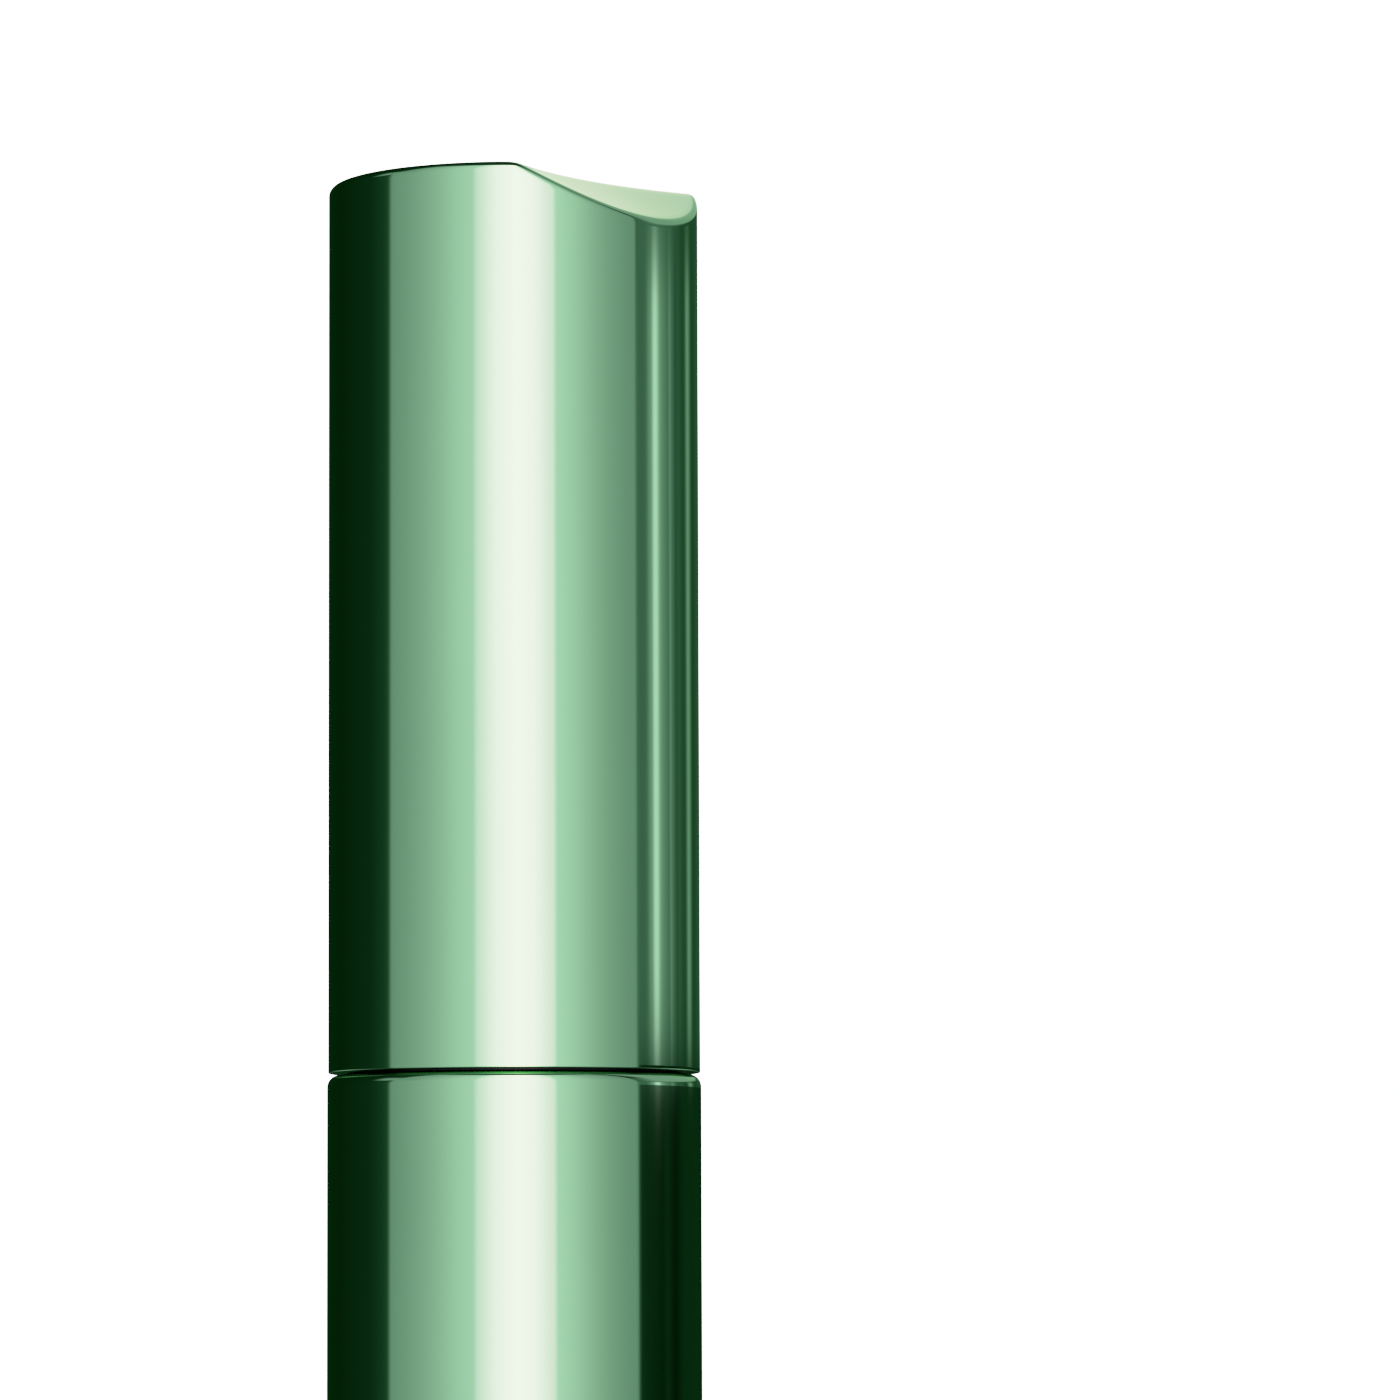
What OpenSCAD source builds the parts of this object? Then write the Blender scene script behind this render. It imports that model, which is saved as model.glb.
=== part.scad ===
// Screw-capped mascara tube: a bottle with an inner vial and wiper, and a cap that carries the wand.
// Millimetres, +Z up, origin at the centre of the base. The sloped face of the cap looks towards -Y.

/* [Overall] */
// Height of the closed tube
total_h = 120; // [117:0.5:123]
// Height of the cap
cap_h = 44.4; // [43:0.05:46]
// Open seam between the cap and the bottle
seam = 0.1; // [0.1:0.05:0.2]

/* [Bottle] */
// Outer radius of the bottle
bottle_r = 9.3; // [9.2:0.05:9.5]
// Wall of the bottle's outer sleeve
sleeve_wall = 0.8; // [0.7:0.05:0.9]
// Rounding of the bottle's shoulder
shoulder_round = 0.6; // [0.3:0.05:0.75]
// Rounding of the bottle's bottom edge
foot_round = 0.4; // [0.2:0.05:0.6]
// Thickness of the base plug
plug_t = 2.2; // [1.8:0.1:2.6]
// Thickness of the steel disc above the base plug
base_weight_t = 4; // [3:0.5:4]

/* [Vial and neck] */
// Outer radius of the vial's body
vial_r = 8; // [7.8:0.1:8.2]
// Wall of the vial's body
vial_wall = 1.1; // [1:0.05:1.2]
// Outer radius of the neck under the thread
neck_r = 5.6; // [5.5:0.05:5.7]
// Radius of the bore through the neck
neck_bore_r = 4.6; // [4.5:0.05:4.7]
// Height of the neck above the bottle's shoulder
neck_h = 10.9; // [10.5:0.1:11.3]
// Radius of the wiper's orifice
orifice_r = 2.32; // [2.3:0.01:2.34]

/* [Thread] */
// Rise for one full turn of the cap
lead = 3.2; // [3:0.1:3.2]
// Turns of thread on the neck and in the cap
thread_turns = 1.5; // [1:0.25:1.5]
// Radial clearance between the two thread crests
thread_clearance = 0.08; // [0.05:0.01:0.15]

/* [Cap] */
// Outer radius of the cap
cap_r = 9.25; // [9.15:0.05:9.45]
// Wall of the cap's outer cover
cap_wall = 0.9; // [0.8:0.05:1]
// Rounding of the cap's top edge
rim_round = 0.4; // [0.3:0.05:0.5]
// Rounding of the cap's bottom edge
cap_round = 0.1; // [0.05:0.05:0.2]
// Distance from the cap's axis to the crest of the sloped face
crest_y = 4.95; // [4.8:0.05:5.6]
// Drop of the sloped face from its crest to the rim
scoop_drop = 2.4; // [2.2:0.05:2.7]
// Radius of the hollow across the sloped face
scoop_r = 42; // [30:1:60]
// Height of the weight in the cap
cap_weight_h = 12; // [8:1:16]

/* [Wand] */
// Radius of the rod
rod_r = 2.24; // [2.2:0.01:2.25]
// Length of the rod's tapered end
rod_taper_l = 4.65; // [4:0.05:5.5]
// Radius of the rod where its end is rounded off
rod_tip_r = 1.68; // [1.5:0.02:1.9]
// Length of the brush, from the end of the rod to its tip
brush_l = 29.3; // [27:0.1:31]
// Height of the brush tip above the base when the tube is closed
brush_tip_z = 14; // [13.5:0.1:16]
// How far the middle of the brush bows away from the rod's axis
brush_bow = 1.3; // [0:0.1:1.4]
// Direction of the bow, in degrees from +X
bow_dir = 132.5; // [0:0.5:360]
// Radius of each of the two twisted wires
wire_r = 0.3; // [0.25:0.01:0.32]
// Length of one full twist of the wires
twist_pitch = 2.2; // [2:0.1:4]

/* [Hidden] */
$fn = 96;
e = 0.01;          // overshoot of a cut, so that no skin is left
slip = 0.05;       // clearance of a piece that is glued or pressed into another
bottle_top = total_h - cap_h - seam;
cap_z = bottle_top + seam;

sleeve_z = 0.25;   // the sleeve stops short of the surface, and the base plug stands on it
sleeve_in_r = bottle_r - sleeve_wall;
sleeve_top_t = 1;
collar_hole_r = 7;
plug_foot_round = 0.25;
plug_top_round = 0.1;
label_r = 6.2;
label_t = 0.12;
label_recess = 0.25;
label_gap = 0.15;  // free ring round the label in its recess
base_weight_gap = 0.2;
base_weight_round = 0.3;

vial_gap = 0.4;    // free height between the steel disc and the vial
vial_z = plug_t + base_weight_t + vial_gap;
vial_floor_t = 1;
vial_in_r = vial_r - vial_wall;
vial_top = bottle_top - sleeve_top_t - 0.1;
vial_shoulder_t = 1.8;
vial_foot_round = 0.8;
vial_shoulder_round = 0.5;
vial_in_foot_round = 1.2;
vial_in_top_round = 0.6;
vial_floor_z = vial_z + vial_floor_t;
vial_ceiling_z = vial_top - vial_shoulder_t;
neck_top = bottle_top + neck_h;

collar_r = 7.6;
collar_t = 0.7;
collar_round = 0.2;
wiper_flange_t = 0.6;
wiper_flange_r = 5.4;
wiper_wall = 1;
wiper_land = 0.8;  // height of the narrowest part of the wiper
wiper_lip_t = 0.6; // wall of the wiper at its orifice
wiper_cone_h = 3;  // height over which the wiper narrows
wiper_l = 12;
film_r = 6.3;      // inner radius of the formula that clings to the vial's wall
film_over = 4;     // height of that film above the end of the rod
pool_under = 1.2;  // free height between the pool and the brush tip
pool_round = 1.5;

thread_depth = 0.6;
thread_root = 0.75; // half the width of a thread at its root
thread_crest = 0.35;
thread_step = 10;  // degrees between two sections of a thread
male_crest_r = neck_r + thread_depth;
female_crest_r = male_crest_r + thread_clearance;
thread_sink = 0.3; // how far a thread reaches into the wall that it stands on
male_z = bottle_top + 3.1;
female_z = male_z - lead / 2;

liner_gap = 0.1;   // glue line between the liner and the cap's cover
cap_in_r = cap_r - cap_wall;
liner_r = cap_in_r - liner_gap;
liner_in_r = 6.95;
liner_z = cap_z + 1;
washer_t = 0.75;
washer_in_r = 2.6;
washer_r = 6.7;
washer_z = neck_top + wiper_flange_t + slip;
ceiling_z = washer_z + washer_t + 0.1;
ceiling_t = 1.4;
rim_wall = 1.1;    // wall of the liner's open top
boss_r = 3.4;
boss_h = 4.6;
socket_r = 1.62;
socket_h = 5.6;
rib_count = 6;
rib_t = 0.9;
rib_sink = 0.4;    // how far a rib reaches into the boss and the wall
rib_drop = 0.6;    // height of the boss above the ribs
cap_top_t = 3.2;
cap_ceiling_z = total_h - cap_top_t;
cap_weight_z = ceiling_z + ceiling_t + boss_h + 0.3;
cap_weight_r = cap_in_r - 0.2;
cap_weight_round = 0.4;

scoop_angle = atan(scoop_drop / (cap_r - crest_y));
rod_end_z = brush_tip_z + brush_l;
rod_end_round = 0.25;
tenon_gap = 0.3;   // free height above the rod's tenon in its socket
wire_grip_l = 7;   // length of the wires inside the rod
wire_bore_l = wire_grip_l + 0.3;
wire_offset = wire_r + 0.015;
wire_bore_r = wire_offset + wire_r + 0.04;
brush_hole_r = wire_bore_r + 0.05;

// Half section of a disc or post with its upper and lower outer edges rounded
module rounded_half(r, h, low = 0, high = 0) {
    low_r = max(low, e);
    high_r = max(high, e);
    square([r - max(low_r, high_r), h]);
    translate([0, low_r]) square([r, h - low_r - high_r]);
    square([r - low_r, h / 2]);
    translate([0, h / 2]) square([r - high_r, h / 2]);
    translate([r - low_r, low_r]) circle(low_r);
    translate([r - high_r, h - high_r]) circle(high_r);
}

// A solid swept through rings of points, each ring anticlockwise as seen from the last one
module sweep(rings) {
    n = len(rings[0]);
    last = len(rings) - 1;
    polyhedron(
        points = [for (ring = rings, p = ring) p],
        faces = concat(
            [[for (j = [0:n - 1]) j]],
            [for (i = [0:last - 1], j = [0:n - 1], half = [0, 1])
                half == 0
                    ? [i * n + j, (i + 1) * n + j, i * n + (j + 1) % n]
                    : [i * n + (j + 1) % n, (i + 1) * n + j, (i + 1) * n + (j + 1) % n]],
            [[for (j = [n - 1:-1:0]) last * n + j]]
        )
    );
}

// A right-hand helical ridge from root_r out or in to crest_r, fading in and out at its ends
module helix(root_r, crest_r, z) {
    steps = ceil(360 * thread_turns / thread_step);
    outward = crest_r > root_r;
    inner = outward ? thread_root : thread_crest;
    outer = outward ? thread_crest : thread_root;
    sweep([for (i = [0:steps])
        let (a = i * thread_step,
             fade = min(1, 0.6 + i / 10, 0.6 + (steps - i) / 10),
             crest = root_r + (crest_r - root_r) * fade,
             low_r = min(root_r, crest), high_r = max(root_r, crest))
        [for (p = [[low_r, -inner], [low_r, inner], [high_r, outer], [high_r, -outer]])
            [p[0] * cos(a), p[0] * sin(a), z + a / 360 * lead + p[1]]]]);
}

// ---- bottle ----

module bottle_sleeve() {
    color("#3f9e63")
    rotate_extrude() difference() {
        translate([0, sleeve_z])
            rounded_half(bottle_r, bottle_top - sleeve_z, foot_round, shoulder_round);
        translate([-1, sleeve_z - 1])
            square([sleeve_in_r + 1, bottle_top - sleeve_top_t - sleeve_z + 1]);
        translate([-1, 0]) square([collar_hole_r + 1, bottle_top + 1]);
    }
}

module base_plug() {
    color("#2e7a4b")
    rotate_extrude() difference() {
        rounded_half(sleeve_in_r - slip, plug_t, plug_foot_round, plug_top_round);
        translate([-1, -1]) square([label_r + label_gap + 1, label_recess + 1]);
    }
}

module base_label() {
    color("#c9d8cb")
    translate([0, 0, label_recess - label_t]) cylinder(r = label_r, h = label_t);
}

module base_weight() {
    color("#8d9094")
    translate([0, 0, plug_t]) rotate_extrude()
        rounded_half(sleeve_in_r - base_weight_gap, base_weight_t, base_weight_round, base_weight_round);
}

module inner_vial() {
    color("#e6ebe4")
    difference() {
        union() {
            translate([0, 0, vial_z]) rotate_extrude()
                rounded_half(vial_r, vial_top - vial_z, vial_foot_round, vial_shoulder_round);
            translate([0, 0, vial_top - 1]) cylinder(r = neck_r, h = neck_top - vial_top + 1);
            helix(neck_r - thread_sink, male_crest_r, male_z);
        }
        translate([0, 0, vial_floor_z]) rotate_extrude()
            rounded_half(vial_in_r, vial_ceiling_z - vial_floor_z, vial_in_foot_round, vial_in_top_round);
        translate([0, 0, vial_ceiling_z - 1])
            cylinder(r = neck_bore_r, h = neck_top - vial_ceiling_z + 2);
    }
}

// Black ring between the sleeve's hole and the neck, with a flange that shows in the seam
module neck_collar() {
    color("#101010")
    rotate_extrude() difference() {
        union() {
            translate([0, bottle_top]) rounded_half(collar_r, collar_t, 0, collar_round);
            translate([0, bottle_top - sleeve_top_t]) square([collar_hole_r - slip, sleeve_top_t]);
        }
        translate([-1, 0]) square([neck_r + slip + 1, total_h]);
    }
}

// Soft sleeve in the neck that narrows to an orifice just wider than the rod
module wiper() {
    tube_r = neck_bore_r - slip;
    in_r = tube_r - wiper_wall;
    low = neck_top - wiper_l;
    color("#d5dbd3")
    rotate_extrude() polygon([
        [orifice_r, low], [orifice_r + wiper_lip_t, low], [tube_r, low + wiper_cone_h],
        [tube_r, neck_top], [wiper_flange_r, neck_top], [wiper_flange_r, neck_top + wiper_flange_t],
        [in_r, neck_top + wiper_flange_t], [in_r, low + wiper_cone_h + wiper_wall],
        [orifice_r, low + wiper_land]
    ]);
}

// Mascara paste: a pool on the vial's floor and the film that the brush leaves on the wall
module formula() {
    pool_top = brush_tip_z - pool_under;
    film_top = rod_end_z + film_over;
    color("#1c1210")
    difference() {
        translate([0, 0, vial_floor_z]) rotate_extrude()
            rounded_half(vial_in_r - slip, film_top - vial_floor_z, vial_in_foot_round + slip, 0.2);
        translate([0, 0, pool_top]) rotate_extrude()
            rounded_half(film_r, film_top - pool_top + 1, pool_round);
    }
}

// ---- cap ----

// Loose sealing washer, held in the liner above the end of its thread
module seal_washer() {
    color("#b9beb8")
    translate([0, 0, washer_z]) difference() {
        cylinder(r = washer_r, h = washer_t);
        translate([0, 0, -1]) cylinder(r = washer_in_r, h = washer_t + 2);
    }
}

module cap_weight() {
    color("#8d9094")
    translate([0, 0, cap_weight_z]) rotate_extrude()
        rounded_half(cap_weight_r, cap_weight_h, cap_weight_round, cap_weight_round);
}

// Hollow of the sloped face: a large cylinder lying along the slope
module scoop() {
    translate([0, -crest_y - scoop_r * sin(scoop_angle), total_h + scoop_r * cos(scoop_angle)])
        rotate([90 + scoop_angle, 0, 0]) cylinder(r = scoop_r, h = 60, center = true, $fn = 180);
}

module cap_cover() {
    color("#3f9e63")
    difference() {
        translate([0, 0, cap_z]) rotate_extrude()
            rounded_half(cap_r, cap_h, cap_round, rim_round);
        translate([0, 0, cap_z - 1])
            cylinder(r = cap_in_r, h = cap_ceiling_z - cap_z + 1);
        scoop();
    }
}

// Inner cap: thread, ceiling that presses on the washer, and the socket that grips the rod
module cap_liner() {
    top = ceiling_z + ceiling_t + boss_h;
    color("#151515")
    difference() {
        union() {
            difference() {
                translate([0, 0, liner_z]) cylinder(r = liner_r, h = top - liner_z);
                translate([0, 0, liner_z - 1]) cylinder(r = liner_in_r, h = ceiling_z - liner_z + 1);
                translate([0, 0, ceiling_z + ceiling_t]) cylinder(r = liner_r - rim_wall, h = boss_h + 1);
            }
            translate([0, 0, ceiling_z + ceiling_t - e]) cylinder(r = boss_r, h = boss_h + e);
            for (i = [0:rib_count - 1])
                rotate(i * 360 / rib_count)
                    translate([boss_r - rib_sink, -rib_t / 2, ceiling_z + ceiling_t - e])
                        cube([liner_r - rim_wall - boss_r + 2 * rib_sink, rib_t, boss_h - rib_drop]);
            helix(liner_in_r + thread_sink, female_crest_r, female_z);
        }
        translate([0, 0, ceiling_z - 1]) cylinder(r = socket_r, h = socket_h + 1);
    }
}

// ---- wand ----

// Offset of the brush's centre line from the axis, at a height on the closed tube
function bow_at(z) = z > rod_end_z ? 0 : brush_bow * sin(180 * (rod_end_z - z) / brush_l);
function centre_at(z) = [bow_at(z) * cos(bow_dir), bow_at(z) * sin(bow_dir), z];

// Radius of the brush at a fraction of its length from the rod: a waist, a belly and a point
function brush_r(t) = lookup(t, [[0, 2.4], [0.03, 3.3], [0.25, 3.25], [0.48, 2.95], [0.62, 3.6],
                                 [0.71, 4.75], [0.76, 4.6], [0.83, 3.7], [0.9, 2.8], [1, 1]]);

module rod() {
    taper_top = rod_end_z + rod_taper_l;
    taper_drop = rod_r - rod_tip_r;
    taper_r = (rod_taper_l * rod_taper_l + taper_drop * taper_drop) / (2 * taper_drop);
    color("#161616")
    difference() {
        rotate_extrude() union() {
            translate([0, taper_top]) square([rod_r, ceiling_z - taper_top]);
            translate([0, ceiling_z - 1]) square([socket_r - e, socket_h - tenon_gap + 1]);
            intersection() {
                translate([rod_r - taper_r, taper_top]) circle(taper_r, $fn = 256);
                translate([0, rod_end_z + rod_end_round])
                    square([rod_r, rod_taper_l - rod_end_round]);
            }
            translate([0, rod_end_z])
                rounded_half(rod_tip_r, rod_end_round * 2, rod_end_round, 0);
        }
        translate([0, 0, rod_end_z - 1]) cylinder(r = wire_bore_r, h = wire_bore_l + 1);
    }
}

// One of the two wires, wound round the brush's centre line
module wire_strand(phase) {
    sides = 8;
    step = twist_pitch / 10;
    top = rod_end_z + wire_grip_l;
    turn = 360 / twist_pitch;
    rise = twist_pitch / (2 * PI * wire_offset);
    sweep([for (i = [0:floor((top - brush_tip_z) / step)])
        let (z = brush_tip_z + i * step, a = phase + turn * z,
             across = [cos(a), sin(a), 0], lean = sqrt(1 + rise * rise),
             up = [-sin(a) * -rise / lean, cos(a) * -rise / lean, 1 / lean])
        [for (j = [0:sides - 1])
            let (b = j * 360 / sides)
            centre_at(z) + across * (wire_offset + wire_r * cos(b)) - up * wire_r * sin(b)]]);
}

module twisted_wire() {
    color("#9a9c9e") {
        wire_strand(0);
        wire_strand(180);
    }
}

// Envelope of the fibres, open down the middle for the wires
module bristles() {
    rings = 24;
    sides = 20;
    base = rod_end_z - 0.1;
    l = base - brush_tip_z - 0.2;
    color("#241a18")
    difference() {
        sweep([for (i = [0:rings])
            let (t = 1 - i / rings, z = base - t * l)
            [for (j = [0:sides - 1])
                let (b = j * 360 / sides)
                centre_at(z) + brush_r(t) * [cos(b), sin(b), 0]]]);
        sweep([for (i = [-1:rings + 1])
            let (z = base - (1 - i / rings) * l)
            [for (j = [0:sides - 1])
                let (b = j * 360 / sides)
                centre_at(z) + brush_hole_r * [cos(b), sin(b), 0]]]);
    }
}

bottle_sleeve();
base_plug();
base_label();
base_weight();
inner_vial();
neck_collar();
wiper();
formula();
seal_washer();
cap_weight();
cap_cover();
cap_liner();
rod();
twisted_wire();
bristles();
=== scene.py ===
"""Looks of the mascara tube: mirror-bright green metal, black moulded parts and a fibre brush."""

import math

import bmesh
import bpy
import numpy as np
from mathutils import Matrix, Quaternion, Vector, noise


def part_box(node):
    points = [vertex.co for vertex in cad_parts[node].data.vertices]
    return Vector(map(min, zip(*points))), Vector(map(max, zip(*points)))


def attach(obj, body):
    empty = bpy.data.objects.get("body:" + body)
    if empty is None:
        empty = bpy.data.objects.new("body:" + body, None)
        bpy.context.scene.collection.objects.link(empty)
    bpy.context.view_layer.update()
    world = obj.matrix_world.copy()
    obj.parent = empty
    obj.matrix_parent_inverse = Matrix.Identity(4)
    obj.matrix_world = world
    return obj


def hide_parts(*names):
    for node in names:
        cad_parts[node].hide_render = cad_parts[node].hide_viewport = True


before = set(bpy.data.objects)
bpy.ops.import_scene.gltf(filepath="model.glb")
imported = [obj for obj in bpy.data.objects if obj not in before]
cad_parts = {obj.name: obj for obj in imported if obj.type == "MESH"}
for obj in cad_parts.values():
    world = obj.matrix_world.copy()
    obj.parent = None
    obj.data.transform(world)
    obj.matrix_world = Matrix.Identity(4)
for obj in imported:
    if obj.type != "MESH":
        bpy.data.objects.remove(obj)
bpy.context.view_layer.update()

MM = 0.001
TAU = 2 * math.pi

# ---- places taken from the frame ----

cap_low, cap_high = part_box("cap_cover")
sleeve_low, sleeve_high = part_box("bottle_sleeve")

TOP_Z = cap_high.z
CAP_Z = cap_low.z
CAP_R = cap_high.x
SLEEVE_R = sleeve_high.x
SLEEVE_Z = sleeve_low.z
SLEEVE_TOP = sleeve_high.z
ROD_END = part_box("rod")[0].z
BRUSH_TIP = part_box("bristles")[0].z

# the sloped face, as the CAD cuts it
CREST = 4.95 * MM
SCOOP_DROP = 2.4 * MM
SCOOP_R = 42 * MM
SCOOP_ANGLE = math.atan(SCOOP_DROP / (CAP_R - CREST))

# ---- the view ----

VIEW_AZIMUTH = math.radians(-48.7)   # the sloped face looks 48.7 degrees to the camera's right
VIEW_DISTANCE = 355 * MM
EYE_BELOW_TOP = 56.2 * MM
YAW_RIGHT = math.radians(1.502)      # the tube stands left of the middle of the view
PITCH_UP = math.radians(4.898)
ROLL = math.radians(-0.2)
LENS_MM = 183.2
SENSOR_MM = 36
NEAREST, FURTHEST = 10 * MM, 50000 * MM


def make_camera():
    """Looks a little upwards at the tube from its front left, with a long lens."""
    data = bpy.data.cameras.new("camera")
    data.lens = LENS_MM
    data.sensor_width = SENSOR_MM
    data.clip_start = NEAREST
    data.clip_end = FURTHEST
    camera = bpy.data.objects.new("camera", data)
    bpy.context.collection.objects.link(camera)
    back = Vector((math.sin(VIEW_AZIMUTH), -math.cos(VIEW_AZIMUTH), 0))
    right = Vector((math.cos(VIEW_AZIMUTH), math.sin(VIEW_AZIMUTH), 0))
    level = math.cos(YAW_RIGHT) * -back + math.sin(YAW_RIGHT) * right
    look = math.cos(PITCH_UP) * level + math.sin(PITCH_UP) * Vector((0, 0, 1))
    camera.location = back * VIEW_DISTANCE + Vector((0, 0, TOP_Z - EYE_BELOW_TOP))
    camera.rotation_mode = "QUATERNION"
    camera.rotation_quaternion = look.to_track_quat("-Z", "Y") @ Quaternion((0, 0, 1), ROLL)
    bpy.context.scene.camera = camera


# ---- node helpers ----

def node(tree, kind, **inputs):
    """A node with values on the inputs named; an underscore stands for a space."""
    made = tree.nodes.new(kind)
    for key, value in inputs.items():
        made.inputs[key.replace("_", " ")].default_value = value
    return made


def grey(value):
    return (value, value, value)


def ramp(tree, factor, stops):
    """A colour ramp over a factor, through (place, colour) stops."""
    made = tree.nodes.new("ShaderNodeValToRGB")
    elements = made.color_ramp.elements
    while len(elements) < len(stops):
        elements.new(0.5)
    for element, (place, colour) in zip(elements, stops):
        element.position = place
        element.color = (*colour, 1)
    tree.links.new(factor, made.inputs["Fac"])
    return made.outputs["Color"]


def math_node(tree, operation, *values):
    """The result of an operation on sockets and numbers."""
    made = tree.nodes.new("ShaderNodeMath")
    made.operation = operation
    for socket, value in zip(made.inputs, values):
        if isinstance(value, (int, float)):
            socket.default_value = value
        else:
            tree.links.new(value, socket)
    return made.outputs["Value"]


def map_range(tree, value, from_range, to_range=(0, 1)):
    made = node(tree, "ShaderNodeMapRange", From_Min=from_range[0], From_Max=from_range[1],
                To_Min=to_range[0], To_Max=to_range[1])
    tree.links.new(value, made.inputs["Value"])
    return made


def blend(tree, factor, first, second):
    """first where the factor is 0 and second where it is 1; second is a socket or a colour."""
    mix = tree.nodes.new("ShaderNodeMix")
    mix.data_type = "RGBA"
    tree.links.new(factor, mix.inputs["Factor"])
    tree.links.new(first, mix.inputs["A"])
    if isinstance(second, tuple):
        mix.inputs["B"].default_value = (*second, 1)
    else:
        tree.links.new(second, mix.inputs["B"])
    return mix.outputs["Result"]


def mix_shaders(tree, factor, first, second, output_kind):
    """Links a mix of two shaders to an output node."""
    mix = tree.nodes.new("ShaderNodeMixShader")
    tree.links.new(factor, mix.inputs["Fac"])
    tree.links.new(first, mix.inputs[1])
    tree.links.new(second, mix.inputs[2])
    output = tree.nodes.new(output_kind)
    tree.links.new(mix.outputs["Shader"], output.inputs["Surface"])


# ---- the studio ----

# Light round the tube: degrees to the right of the camera's side, and how bright it is there
LEFT_OF_STRIP = [
    (-180, 0.03), (-135, 0.028), (-100, 0.045), (-88, 0.075), (-84.5, 0.11), (-83, 0.3),
    (-82, 0.53), (-79, 0.57), (-70, 0.64), (-57.5, 0.78), (-46, 0.94), (-36, 1.12), (-24.5, 1.28),
]
RIGHT_OF_STRIP = [
    (25.8, 1.36), (35, 1.18), (51, 0.86), (62, 0.69), (74, 0.57), (81.3, 0.54), (82.4, 0.25),
    (84, 0.06), (86, 0.046), (96, 0.032), (104, 0.022), (108, 0.042), (117, 0.014), (128, 0.042),
    (152, 0.045), (168, 0.025), (180, 0.015),
]
# The bright strip in front: degrees and colour
STRIP = [
    (-23.5, (1.95, 1.5, 1.8)), (-18, (2.4, 2.0, 2.1)), (-9, (3.8, 3.0, 2.95)),
    (2, (5.2, 3.6, 3.7)), (12, (4.3, 3.2, 3.2)), (19, (2.85, 2.25, 2.35)),
    (24.8, (2.35, 1.75, 2.0)),
]
RAMPS_MEET = (24.5, 24.6)              # one ramp can't hold all the stops, so a second takes over
# Streaks that stand at the right, level with the cap, and the light above them
STREAKS = [
    (82, 0.5), (83.5, 0.24), (89, 0.24), (91, 0.29), (93.5, 0.52), (95.5, 0.6), (97.5, 1.25),
    (99.5, 1.5), (101, 1.2), (103.5, 0.62), (107, 0.45), (112.5, 0.3), (114.3, 0.52),
    (116.3, 0.33), (121.5, 0.14), (124.5, 0.19), (131, 0.12), (134.5, 0.14), (139, 0.58),
    (141, 0.5), (146, 0.13), (150, 0.1), (160, 0.13), (180, 0.12),
]
OVER_STREAKS = [(82.5, 0.24), (105, 0.25), (116, 0.2), (130, 0.12), (180, 0.1)]
STREAKS_AROUND = (82.5, 83.5)
STREAKS_UP = (2.05, 2.3, 8.4, 8.6)     # degrees above the horizon
OVER_STREAKS_UP = (2.05, 2.3, 29.8, 30)

# Lights further off, and the degrees round and up between which each rises and falls
CEILING_LIGHT = 0.06
CEILING_UP = (61, 64)
# The light behind, which the sloped face shows: degrees above the horizon and colour
BACK_LIGHT = [
    (18, (1.27, 1.36, 1.12)), (22, (1.55, 1.3, 1.3)), (27, (1.85, 1.36, 1.55)),
    (32, (2.1, 1.41, 1.75)), (38, (2.4, 1.5, 2.0)),
]
BACK_LIGHT_AROUND = (125, 155, 176.5, 179.5)
BACK_LIGHT_UP = (11, 17, 50, 62)
RIGHT_LIGHT = 0.68
RIGHT_LIGHT_AROUND = (88, 102, 160, 172)
RIGHT_LIGHT_UP = (9.5, 13, 58, 66)
RIGHT_LIGHT_SHARE = 0.9
LEFT_LIGHT = 0.55
LEFT_LIGHT_AROUND = (-104, -94, -72, -60)
LEFT_LIGHT_UP = (18, 23, 32, 40)
# Soft lights at the back, near the table, which only views from above show in the metal
LOW_LIGHTS = [
    (-180, 0.4), (-162, 0.12), (-147, 0.85), (-128, 0.7), (-118, 0.1), (-90, 0.08),
    (90, 0.08), (112, 0.1), (122, 0.75), (143, 0.9), (158, 0.12), (180, 0.4),
]
FRONT_AROUND = (-96, -86, 86, 96)      # the low lights stand outside this
LOW_LIGHTS_UP = (-14, -2)
WHITE = 2.5                            # the backdrop, as the camera sees it
# How red and blue follow green in the light: their share of it when bright, and the green at
# which they have half that share
RED_LAW = (1.3, 0.28)
BLUE_LAW = (1.15, 0.1)


def position(degrees):
    """Where a direction round the tube lies on a ramp."""
    return 0.5 + degrees / 360


def height(degrees):
    """Where an elevation lies on a ramp over the sine of the elevation."""
    return 0.5 + 0.5 * math.sin(math.radians(degrees))


def follow(law, green):
    share, half_at = law
    return share * green * green / (green + half_at)


def glow(value):
    """The colour of the light at a brightness: dim light is greener than bright light."""
    return (follow(RED_LAW, value), value, follow(BLUE_LAW, value))


def tinted(stops):
    return [(position(a), glow(v)) for a, v in stops]


def step(tree, factor, place, edges, before=0, after=1):
    """A mask that goes from one value to another between two places."""
    start, end = edges
    return ramp(tree, factor, [(place(start), grey(before)), (place(end), grey(after))])


def plateau(tree, factor, place, edges, outside=0, inside=1):
    """A mask that has one value between the middle two of four places, and another outside."""
    values = (outside, inside, inside, outside)
    return ramp(tree, factor, [(place(e), grey(v)) for e, v in zip(edges, values)])


def patch(tree, lit, mask_around, mask_up, light):
    """Puts a light where both masks are 1."""
    return blend(tree, math_node(tree, "MULTIPLY", mask_around, mask_up), lit, light)


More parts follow.
